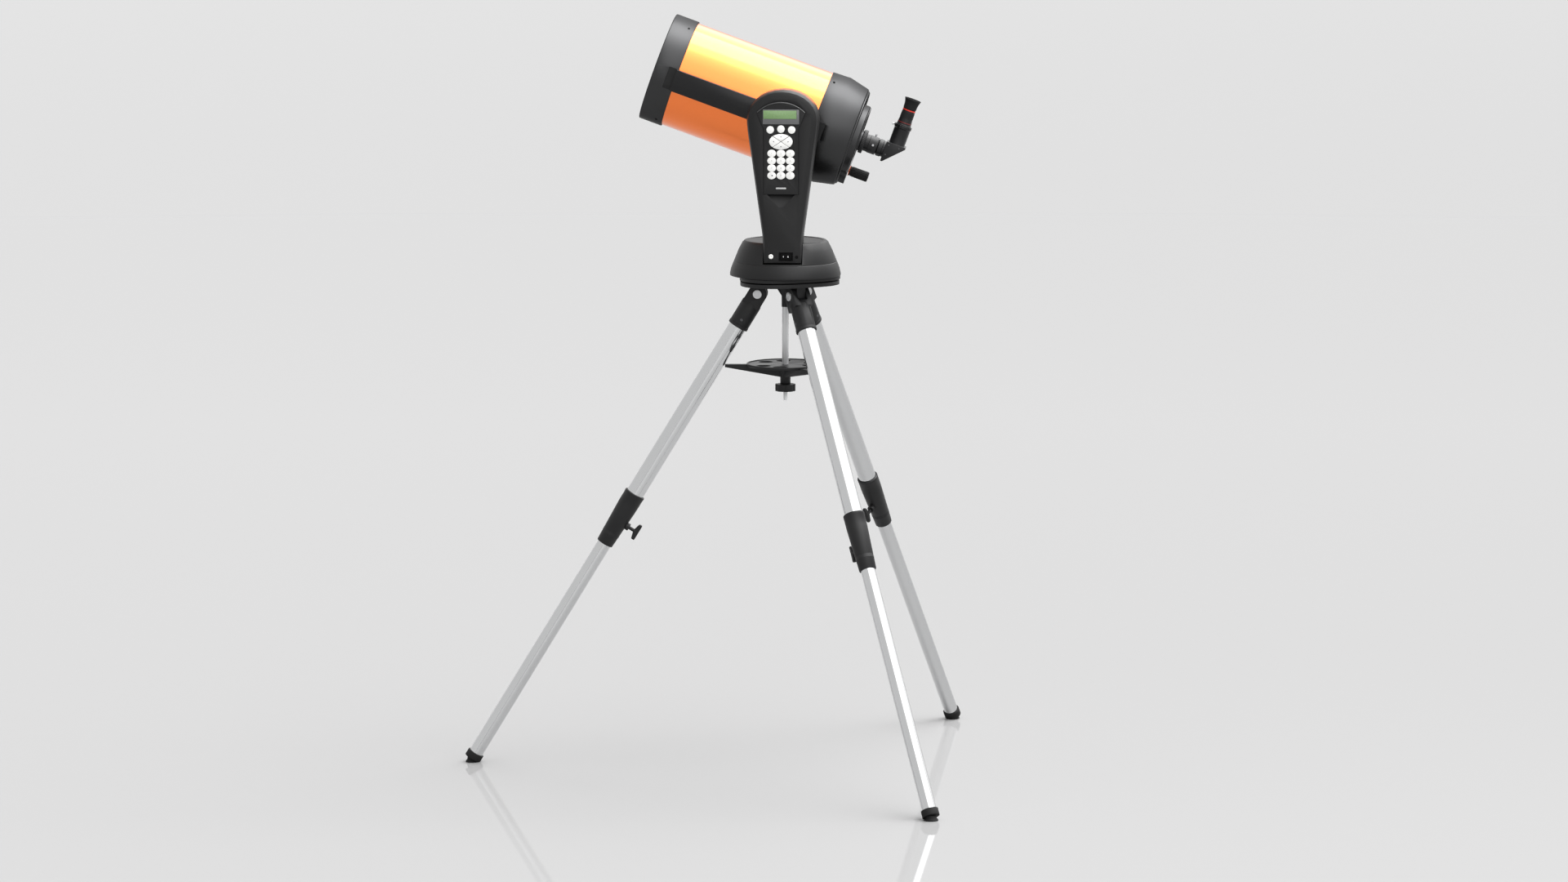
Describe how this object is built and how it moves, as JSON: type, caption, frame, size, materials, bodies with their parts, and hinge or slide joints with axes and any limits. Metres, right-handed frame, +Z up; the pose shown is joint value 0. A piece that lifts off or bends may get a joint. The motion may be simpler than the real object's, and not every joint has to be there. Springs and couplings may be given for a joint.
{
  "type": "schmidt cassegrain telescope",
  "caption": "Computerised catadioptric telescope: orange tube with black cells on a single fork arm with a nested hand controller, motorised round base and folding steel tripod.",
  "frame": {"origin": "on the ground under the middle of the box that holds the whole telescope", "axes": "+Z up; the tube looks towards -X and up; the fork arm with the hand controller is on the -Y side"},
  "size_m": [1.0372, 1.192, 1.5917],
  "materials": {
    "black_alloy": "black anodised",
    "black_cast": "satin black powder coat on alloy castings",
    "black_paint": "satin black paint on alloy castings",
    "black_plastic": "satin black moulded plastic",
    "brass": "machined brass",
    "glass": "coated optical glass",
    "lcd": "green liquid crystal display behind a clear window",
    "mirror": "aluminised front surface",
    "orange": "glossy orange paint",
    "rubber": "matt black rubber",
    "steel": "polished steel tube",
    "white_keys": "white moulded keys"
  },
  "bodies": {
    "stand": {"tripod_head": "black_cast", "center_rod": "steel", "drive_base": "black_cast", "azimuth_gear": "brass", "hinge_pin_1": "steel", "hinge_pin_2": "steel", "hinge_pin_3": "steel"},
    "leg_1": {"leg_yoke_1": "black_cast", "upper_tube_1": "steel", "clamp_sleeve_1": "black_cast"},
    "lower_leg_1": {"lower_tube_1": "steel", "rubber_foot_1": "rubber"},
    "clamp_1": {"clamp_knob_1": "black_plastic"},
    "leg_2": {"leg_yoke_2": "black_cast", "upper_tube_2": "steel", "clamp_sleeve_2": "black_cast"},
    "lower_leg_2": {"lower_tube_2": "steel", "rubber_foot_2": "rubber"},
    "clamp_2": {"clamp_knob_2": "black_plastic"},
    "leg_3": {"leg_yoke_3": "black_cast", "upper_tube_3": "steel", "clamp_sleeve_3": "black_cast"},
    "lower_leg_3": {"lower_tube_3": "steel", "rubber_foot_3": "rubber"},
    "clamp_3": {"clamp_knob_3": "black_plastic"},
    "tray": {"accessory_tray": "black_plastic"},
    "tray_nut": {"tray_knob": "black_plastic"},
    "mount": {"turntable": "black_plastic", "arm_shell": "black_cast", "arm_cover": "black_cast", "power_socket": "white_keys"},
    "switch": {"power_switch": "black_plastic"},
    "controller": {"handset_body": "black_plastic", "lcd_window": "lcd"},
    "menu_key_left": {"menu_key_left": "white_keys"},
    "menu_key_middle": {"menu_key_middle": "white_keys"},
    "menu_key_right": {"menu_key_right": "white_keys"},
    "arrow_key_up": {"arrow_key_up": "white_keys"},
    "arrow_key_down": {"arrow_key_down": "white_keys"},
    "arrow_key_left": {"arrow_key_left": "white_keys"},
    "arrow_key_right": {"arrow_key_right": "white_keys"},
    "number_keys_left": {"number_keys_left": "white_keys"},
    "number_keys_middle": {"number_keys_middle": "white_keys"},
    "number_keys_right": {"number_keys_right": "white_keys"},
    "optical_assembly": {"optical_tube": "orange", "front_cell": "black_paint", "corrector_plate": "glass", "secondary_housing": "black_plastic", "baffle_tube": "black_alloy", "rear_cell": "black_paint", "dovetail_rail": "black_alloy", "altitude_hub": "black_cast", "visual_back": "black_alloy"},
    "saddle_screw": {"saddle_knob": "black_plastic"},
    "mirror": {"primary_mirror": "mirror"},
    "focuser": {"focus_knob": "rubber"},
    "coupling_ring": {"slip_ring": "black_alloy"},
    "diagonal": {"star_diagonal": "black_alloy"},
    "eyepiece": {"eyepiece": "black_alloy", "eyecup": "rubber"}
  },
  "joints": [
    {"name": "leg_fold_1", "type": "hinge", "parent": "stand", "child": "leg_1", "pos_m": [0.11075, 0, 1.0115], "axis": [0, -1, 0], "range_deg": [0, 3.6]},
    {"name": "leg_extend_1", "type": "slide", "parent": "leg_1", "child": "lower_leg_1", "axis": [-0.5204, 0, -0.854], "range_m": [-0.37, 0.06]},
    {"name": "clamp_turn_1", "type": "hinge", "parent": "leg_1", "child": "clamp_1", "pos_m": [-0.18689, 0, 0.52304], "axis": [0.854, 0, -0.5204], "range_deg": [0, 720]},
    {"name": "leg_fold_2", "type": "hinge", "parent": "stand", "child": "leg_2", "pos_m": [0.19775, -0.05023, 1.0115], "axis": [0.866, 0.5, 0], "range_deg": [0, 3.6]},
    {"name": "leg_extend_2", "type": "slide", "parent": "leg_2", "child": "lower_leg_2", "axis": [0.2602, -0.4506, -0.854], "range_m": [-0.37, 0.06]},
    {"name": "clamp_turn_2", "type": "hinge", "parent": "leg_2", "child": "clamp_2", "pos_m": [0.34657, -0.308, 0.52304], "axis": [-0.427, 0.7395, -0.5204], "range_deg": [0, 720]},
    {"name": "leg_fold_3", "type": "hinge", "parent": "stand", "child": "leg_3", "pos_m": [0.19775, 0.05023, 1.0115], "axis": [-0.866, 0.5, 0], "range_deg": [0, 3.6]},
    {"name": "leg_extend_3", "type": "slide", "parent": "leg_3", "child": "lower_leg_3", "axis": [0.2602, 0.4506, -0.854], "range_m": [-0.37, 0.06]},
    {"name": "clamp_turn_3", "type": "hinge", "parent": "leg_3", "child": "clamp_3", "pos_m": [0.34657, 0.308, 0.52304], "axis": [-0.427, -0.7395, -0.5204], "range_deg": [0, 720]},
    {"name": "tray_slide", "type": "slide", "parent": "stand", "child": "tray", "axis": [0, 0, 1], "range_m": [-0.0285, 0]},
    {"name": "tray_knob_turn", "type": "hinge", "parent": "tray", "child": "tray_nut", "pos_m": [0.16875, 0, 0.8115], "axis": [0, 0, 1], "continuous": true},
    {"name": "azimuth", "type": "hinge", "parent": "stand", "child": "mount", "pos_m": [0.16875, 0, 1.0735], "axis": [0, 0, 1], "continuous": true},
    {"name": "power_switch_rock", "type": "hinge", "parent": "mount", "child": "switch", "pos_m": [0.17625, -0.1036, 1.1005], "axis": [0, 0, 1], "range_deg": [0, 16]},
    {"name": "controller_lift_out", "type": "slide", "parent": "mount", "child": "controller", "axis": [0, -1, 0], "range_m": [0, 0.06]},
    {"name": "menu_key_left_press", "type": "slide", "parent": "controller", "child": "menu_key_left", "axis": [0, 1, 0], "range_m": [0, 0.001], "stiffness_N_per_m": 300},
    {"name": "menu_key_middle_press", "type": "slide", "parent": "controller", "child": "menu_key_middle", "axis": [0, 1, 0], "range_m": [0, 0.001], "stiffness_N_per_m": 300},
    {"name": "menu_key_right_press", "type": "slide", "parent": "controller", "child": "menu_key_right", "axis": [0, 1, 0], "range_m": [0, 0.001], "stiffness_N_per_m": 300},
    {"name": "arrow_key_up_press", "type": "slide", "parent": "controller", "child": "arrow_key_up", "axis": [0, 1, 0], "range_m": [0, 0.001], "stiffness_N_per_m": 300},
    {"name": "arrow_key_down_press", "type": "slide", "parent": "controller", "child": "arrow_key_down", "axis": [0, 1, 0], "range_m": [0, 0.001], "stiffness_N_per_m": 300},
    {"name": "arrow_key_left_press", "type": "slide", "parent": "controller", "child": "arrow_key_left", "axis": [0, 1, 0], "range_m": [0, 0.001], "stiffness_N_per_m": 300},
    {"name": "arrow_key_right_press", "type": "slide", "parent": "controller", "child": "arrow_key_right", "axis": [0, 1, 0], "range_m": [0, 0.001], "stiffness_N_per_m": 300},
    {"name": "number_keys_left_press", "type": "slide", "parent": "controller", "child": "number_keys_left", "axis": [0, 1, 0], "range_m": [0, 0.001], "stiffness_N_per_m": 300},
    {"name": "number_keys_middle_press", "type": "slide", "parent": "controller", "child": "number_keys_middle", "axis": [0, 1, 0], "range_m": [0, 0.001], "stiffness_N_per_m": 300},
    {"name": "number_keys_right_press", "type": "slide", "parent": "controller", "child": "number_keys_right", "axis": [0, 1, 0], "range_m": [0, 0.001], "stiffness_N_per_m": 300},
    {"name": "altitude", "type": "hinge", "parent": "mount", "child": "optical_assembly", "pos_m": [0.16875, -0.05, 1.3765], "axis": [0, 1, 0], "range_deg": [-30, 50]},
    {"name": "saddle_knob_turn", "type": "hinge", "parent": "optical_assembly", "child": "saddle_screw", "pos_m": [0.1549, -0.013, 1.33844], "axis": [-0.342, 0, -0.9397], "range_deg": [0, 720]},
    {"name": "mirror_slide", "type": "slide", "parent": "optical_assembly", "child": "mirror", "axis": [-0.9397, 0, 0.342], "range_m": [-0.0075, 0.0075]},
    {"name": "focus_turn", "type": "hinge", "parent": "optical_assembly", "child": "focuser", "pos_m": [0.31501, 0.142, 1.25207], "axis": [-0.9397, 0, 0.342], "range_deg": [-3620, 3620]},
    {"name": "slip_ring_turn", "type": "hinge", "parent": "optical_assembly", "child": "coupling_ring", "pos_m": [0.32628, 0.112, 1.32395], "axis": [-0.9397, 0, 0.342], "range_deg": [0, 720]},
    {"name": "diagonal_turn", "type": "hinge", "parent": "optical_assembly", "child": "diagonal", "pos_m": [0.35823, 0.112, 1.31232], "axis": [-0.9397, 0, 0.342], "continuous": true},
    {"name": "eyepiece_slide", "type": "slide", "parent": "diagonal", "child": "eyepiece", "axis": [0.342, 0, 0.9397], "range_m": [0, 0.025]}
  ],
  "couplings": [
    {"joint": "leg_fold_2", "follows": "leg_fold_1", "ratio": 1},
    {"joint": "leg_fold_3", "follows": "leg_fold_1", "ratio": 1},
    {"joint": "tray_slide", "follows": "leg_fold_1", "m_per_rad": -0.4456},
    {"joint": "focus_turn", "follows": "mirror_slide", "rad_per_m": 8377.6}
  ]
}
